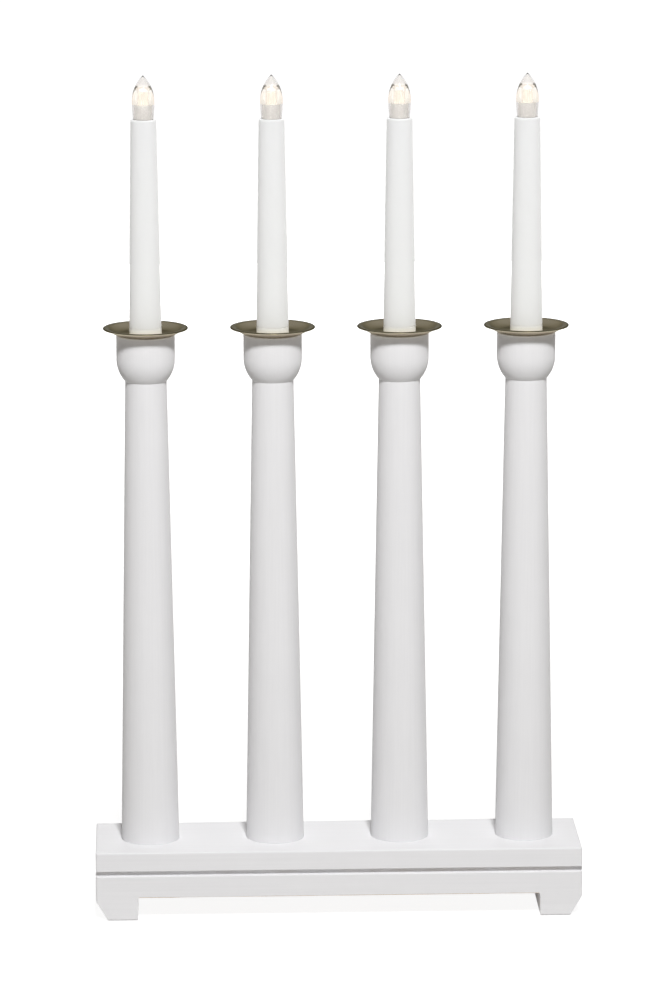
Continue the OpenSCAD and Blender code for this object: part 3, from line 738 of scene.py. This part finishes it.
def tube_mesh():
    """A tapered tube with a fine line round its foot and a hole for the lamp in its top."""
    def outer(z):
        return TUBE_FOOT_R + (TUBE_TOP_R - TUBE_FOOT_R) * (z - TUBE_FOOT) / (TUBE_TOP - TUBE_FOOT)

    line_low = TUBE_FOOT + TUBE_LINE_RISE
    line_high = line_low + TUBE_LINE_HEIGHT
    ceiling = TUBE_TOP - TUBE_WALL
    outline = [
        (outer(TUBE_FOOT) - TUBE_WALL, TUBE_FOOT),
        (outer(TUBE_FOOT), TUBE_FOOT),
        (outer(line_low), line_low),
        (outer(line_low) - TUBE_LINE_DEPTH, line_low),
        (outer(line_high) - TUBE_LINE_DEPTH, line_high),
        (outer(line_high), line_high),
    ]
    outline += round_corner(outline[-1], (outer(TUBE_TOP), TUBE_TOP), (TUBE_HOLE_R, TUBE_TOP), TUBE_EDGE)
    outline += [(TUBE_HOLE_R, TUBE_TOP), (TUBE_HOLE_R, ceiling), (outer(ceiling) - TUBE_WALL, ceiling)]
    return lathe("tube", outline, MOULDED_SEGMENTS)


def bulb_tip(inset):
    """Half outline from the bulb's widest place to its rounded point, set in from the outside."""
    widest = TUBE_TOP + BULB_WIDEST_RISE
    sin_tip, cos_tip = math.sin(BULB_TIP_ANGLE), math.cos(BULB_TIP_ANGLE)
    sweep = (sin_tip * (BULB_TOP - widest) - cos_tip * BULB_R) / (1 - cos_tip)
    side = arc((BULB_R - sweep, widest), sweep - inset, 0, BULB_TIP_ANGLE, BULB_STEPS)
    mirrored = (-side[-1][0], side[-1][1])
    point = round_corner(side[-1], (0, BULB_TOP - inset / sin_tip), mirrored, BULB_TIP_ROUND)
    point = point[:len(point) // 2]
    return side + point + [(0, point[-1][1])]


def bulb_mesh():
    """A clear body, solid round the core and its plug, with a funnel-shaped hollow up to the tip."""
    floor_z = SKIRT_Z + BULB_FLOOR
    shoulder = TUBE_TOP + BULB_SHOULDER_RISE
    widest = TUBE_TOP + BULB_WIDEST_RISE
    ceiling = CORE_TOP + CORE_GAP
    step_z = CORE_Z + CORE_GAP
    step = BULB_R - BULB_NECK_R
    drop = widest - shoulder
    belly = (drop * drop + step * step) / (2 * step)
    outline = [(BULB_STEM_HOLE_R, SKIRT_Z), (BULB_SKIRT_R, SKIRT_Z), (BULB_SKIRT_R, shoulder)]
    outline += arc((BULB_R - belly, widest), belly, -math.asin(drop / belly), 0, BULB_STEPS)
    outline += bulb_tip(0)[1:]
    funnel_top = ceiling + FUNNEL_RISE
    outline += [(r, z) for r, z in reversed(bulb_tip(BULB_WALL)) if z > funnel_top]
    outline += [(CORE_R + CORE_GAP, ceiling), (CORE_R + CORE_GAP, step_z)]
    outline += [(PLUG_R + CORE_GAP, step_z), (PLUG_R + CORE_GAP, floor_z), (BULB_STEM_HOLE_R, floor_z)]
    return lathe("bulb", outline, RIBBED_SEGMENTS)


def core_mesh():
    """The ribbed light guide on its plug and stem."""
    foot_top = CORE_LOW + STEM_FOOT_HEIGHT
    plug_z = SKIRT_Z + PLUG_RISE
    outline = [(0, CORE_LOW), (STEM_FOOT_R, CORE_LOW), (STEM_FOOT_R, foot_top), (STEM_R, foot_top)]
    outline += [(STEM_R, plug_z), (PLUG_R, plug_z), (PLUG_R, CORE_Z)]
    ribbed_from = len(outline)
    outline += [(CORE_R, CORE_Z)]
    outline += round_corner((CORE_R, CORE_Z), (CORE_R, CORE_TOP), (0, CORE_TOP), CORE_EDGE)
    ribbed_to = len(outline)
    outline += [(0, CORE_TOP)]

    def radius(i, angle):
        r = outline[i][0]
        if not ribbed_from <= i < ribbed_to:
            return r
        return r - CORE_FLUTE_DEPTH * (0.5 - 0.5 * math.cos(CORE_FLUTES * angle))

    return lathe("core", outline, RIBBED_SEGMENTS, radius)


def cap_mesh():
    """The lamp's rolled screw cap: a wave that climbs one pitch in a turn."""
    rows = math.ceil((CAP_HIGH - CAP_LOW) / THREAD_PITCH * THREAD_ROWS_A_TURN)
    mean = THREAD_R - THREAD_DEPTH / 2
    outline = [(mean, CAP_LOW + (CAP_HIGH - CAP_LOW) * k / rows) for k in range(rows + 1)]
    outline += [(CAP_BORE_R, CAP_HIGH), (CAP_BORE_R, CAP_LOW)]

    def radius(i, angle):
        r, z = outline[i]
        if i > rows:
            return r
        return mean + THREAD_DEPTH / 2 * math.cos(2 * math.pi * z / THREAD_PITCH - angle)

    return lathe("cap", outline, MOULDED_SEGMENTS, radius)


FIXED_PIECES = (
    ("turned_column", column_mesh(), "column", "painted_wood"),
    ("brass_tray", tray_mesh(), "drip_tray", "tray_brass"),
    ("white_tube", tube_mesh(), "candle_tube", "candle_plastic"),
)
LAMP_PIECES = (
    ("clear_bulb", bulb_mesh(), "bulb_envelope", "lamp_clear"),
    ("lit_core", core_mesh(), "bulb_core", "lamp_core"),
    ("screw_cap", cap_mesh(), "bulb_cap", "lamp_cap"),
)
for n in CANDLES:
    for name, mesh, node, slot in FIXED_PIECES:
        place(f"{name}_{n}", mesh, n, "holder", f"{node}_{n}", slot)
    for name, mesh, node, slot in LAMP_PIECES:
        place(f"{name}_{n}", mesh, n, f"lamp_{n}", f"{node}_{n}", slot)


# Studio, in metres and watts

FLOOR_HALF = 14.0
FLOOR_DROP = 0.0003
FLOOR_COLOUR = (0.6, 0.59, 0.57, 1.0)
FLOOR_SEEN_COLOUR = (0.36, 0.36, 0.36, 1.0)
FLOOR_NEAR, FLOOR_FAR = 0.45, 1.3
FLOOR_NEAR_GLOW, FLOOR_FAR_GLOW = 0.9, 1.0
AMBIENT = (0.116, 0.108, 0.097, 1.0)
SURROUND = (1.0, 1.0, 1.0, 1.0)
MIDDLE = (0.0, 0.0, 0.3)
KEY_SIZE = 0.45
KEY_LOW_AT = (0.147, -2.8, 3.153)
KEY_LOW_WATTS = 91.0
KEY_HIGH_AT = (0.139, -2.647, 3.296)
KEY_HIGH_WATTS = 46.0
BACK_AT = (0.0, 2.5, 0.45)
BACK_SIZE = 1.0
BACK_WATTS = 20.0


def seen_directly(tree):
    """One for rays from the camera, off gloss or through glass, and zero for light that spreads."""
    path = tree.nodes.new("ShaderNodeLightPath")
    seen = path.outputs["Is Camera Ray"]
    for kind in ("Is Glossy Ray", "Is Transmission Ray"):
        either = tree.nodes.new("ShaderNodeMath")
        either.operation = "MAXIMUM"
        tree.links.new(seen, either.inputs[0])
        tree.links.new(path.outputs[kind], either.inputs[1])
        seen = either.outputs["Value"]
    return seen


def make_floor():
    """A pale floor that looks white and still takes the object's shadow."""
    mesh = bpy.data.meshes.new("floor")
    half = FLOOR_HALF
    corners = [(-half, -half, 0), (half, -half, 0), (half, half, 0), (-half, half, 0)]
    mesh.from_pydata(corners, [], [(0, 1, 2, 3)])
    floor = bpy.data.objects.new("floor", mesh)
    floor.location.z = -FLOOR_DROP
    bpy.context.scene.collection.objects.link(floor)
    material = bpy.data.materials.new("floor")
    material.use_nodes = True
    tree = material.node_tree
    tree.nodes.clear()
    lit = tree.nodes.new("ShaderNodeBsdfDiffuse")
    lit.inputs["Color"].default_value = FLOOR_COLOUR
    shown = tree.nodes.new("ShaderNodeBsdfDiffuse")
    shown.inputs["Color"].default_value = FLOOR_SEEN_COLOUR
    glow = tree.nodes.new("ShaderNodeEmission")
    place_node = tree.nodes.new("ShaderNodeTexCoord")
    length = tree.nodes.new("ShaderNodeVectorMath")
    length.operation = "LENGTH"
    tree.links.new(place_node.outputs["Object"], length.inputs[0])
    fade = tree.nodes.new("ShaderNodeMapRange")
    fade.interpolation_type = "SMOOTHSTEP"
    fade.inputs["From Min"].default_value = FLOOR_NEAR
    fade.inputs["From Max"].default_value = FLOOR_FAR
    fade.inputs["To Min"].default_value = FLOOR_NEAR_GLOW
    fade.inputs["To Max"].default_value = FLOOR_FAR_GLOW
    tree.links.new(length.outputs["Value"], fade.inputs["Value"])
    tree.links.new(fade.outputs["Result"], glow.inputs["Strength"])
    both = tree.nodes.new("ShaderNodeAddShader")
    tree.links.new(shown.outputs["BSDF"], both.inputs[0])
    tree.links.new(glow.outputs["Emission"], both.inputs[1])
    choice = tree.nodes.new("ShaderNodeMixShader")
    tree.links.new(seen_directly(tree), choice.inputs["Fac"])
    tree.links.new(lit.outputs["BSDF"], choice.inputs[1])
    tree.links.new(both.outputs["Shader"], choice.inputs[2])
    output = tree.nodes.new("ShaderNodeOutputMaterial")
    tree.links.new(choice.outputs["Shader"], output.inputs["Surface"])
    mesh.materials.append(material)


def make_world():
    """A white surround to look at, and an even, weaker light from all round."""
    world = bpy.data.worlds.new("studio")
    world.use_nodes = True
    tree = world.node_tree
    tree.nodes.clear()
    ambient = tree.nodes.new("ShaderNodeBackground")
    ambient.inputs["Color"].default_value = AMBIENT
    white = tree.nodes.new("ShaderNodeBackground")
    white.inputs["Color"].default_value = SURROUND
    choice = tree.nodes.new("ShaderNodeMixShader")
    tree.links.new(seen_directly(tree), choice.inputs["Fac"])
    tree.links.new(ambient.outputs["Background"], choice.inputs[1])
    tree.links.new(white.outputs["Background"], choice.inputs[2])
    output = tree.nodes.new("ShaderNodeOutputWorld")
    tree.links.new(choice.outputs["Shader"], output.inputs["Surface"])
    bpy.context.scene.world = world


def softbox(name, at, size, watts, shown=True):
    """A soft square lamp that looks at the middle. One that isn't shown stays out of gloss and glass."""
    data = bpy.data.lights.new(name, "AREA")
    data.shape = "SQUARE"
    data.size = size
    data.energy = watts
    lamp = bpy.data.objects.new(name, data)
    lamp.location = at
    lamp.rotation_euler = (Vector(MIDDLE) - Vector(at)).to_track_quat("-Z", "Y").to_euler()
    lamp.visible_camera = shown
    lamp.visible_glossy = shown
    lamp.visible_transmission = shown
    bpy.context.scene.collection.objects.link(lamp)


make_floor()
make_world()
softbox("key_low", KEY_LOW_AT, KEY_SIZE, KEY_LOW_WATTS)
softbox("key_high", KEY_HIGH_AT, KEY_SIZE, KEY_HIGH_WATTS)
softbox("back", BACK_AT, BACK_SIZE, BACK_WATTS, shown=False)

bpy.context.scene.view_settings.view_transform = "Standard"
